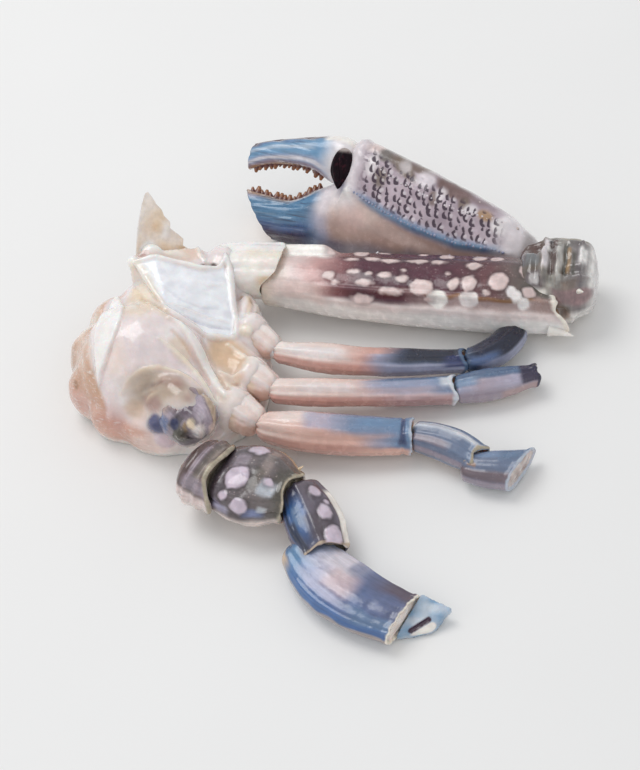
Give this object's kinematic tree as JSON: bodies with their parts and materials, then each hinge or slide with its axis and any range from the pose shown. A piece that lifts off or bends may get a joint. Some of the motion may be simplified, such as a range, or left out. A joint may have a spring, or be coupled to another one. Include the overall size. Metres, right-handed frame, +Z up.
{
  "type": "raw swimming crab half",
  "caption": "Cleaned right half of a raw blue swimming crab: open thorax, folded claw arm, walking legs and swimming leg, all chopped at the tips.",
  "frame": {"origin": "under the middle of the half's box, on the plane that it rests on", "axes": "+X outwards from the cut middle towards the leg ends, +Y towards the head, +Z up out of the opened back"},
  "size_m": [0.1306, 0.1486, 0.033],
  "materials": {
    "white_shell": "wet, smooth, slightly translucent",
    "purple_shell": "wet, fine-grained, with pale oval spots",
    "olive_shell": "wet, ridged, glossy",
    "pink_blue_shell": "wet, pink-white at the root running to slate blue",
    "navy_shell": "wet, smooth",
    "steel_blue_shell": "wet, smooth",
    "spotted_grey_shell": "wet, with large pale lavender spots",
    "paddle_blue_shell": "wet, smooth, darker along its edges",
    "pale_blue_shell": "wet, thin",
    "lilac_claw_shell": "wet, with a net of dark purple lines",
    "claw_blue_shell": "wet, with fine lengthwise streaks",
    "dark_hinge_skin": "soft, wet skin",
    "inner_shell_and_meat": "thin translucent inner shell over raw meat, wet"
  },
  "bodies": {
    "root": {"arm_ischium": "white_shell", "arm_merus": "purple_shell", "arm_carpus": "olive_shell", "leg1_ischium": "white_shell", "leg1_merus": "pink_blue_shell", "leg1_carpus": "navy_shell", "leg2_ischium": "white_shell", "leg2_merus": "pink_blue_shell", "leg2_carpus": "navy_shell", "leg3_ischium": "white_shell", "leg3_merus": "pink_blue_shell", "leg3_carpus": "steel_blue_shell", "leg3_propodus": "steel_blue_shell", "swim_coxa": "spotted_grey_shell", "swim_ischium": "spotted_grey_shell", "swim_merus": "spotted_grey_shell", "swim_carpus": "paddle_blue_shell", "swim_propodus": "paddle_blue_shell", "swim_paddle_stub": "pale_blue_shell", "claw_hand": "lilac_claw_shell", "claw_finger": "claw_blue_shell", "claw_hinge": "dark_hinge_skin", "body": "inner_shell_and_meat"}
  },
  "joints": []
}
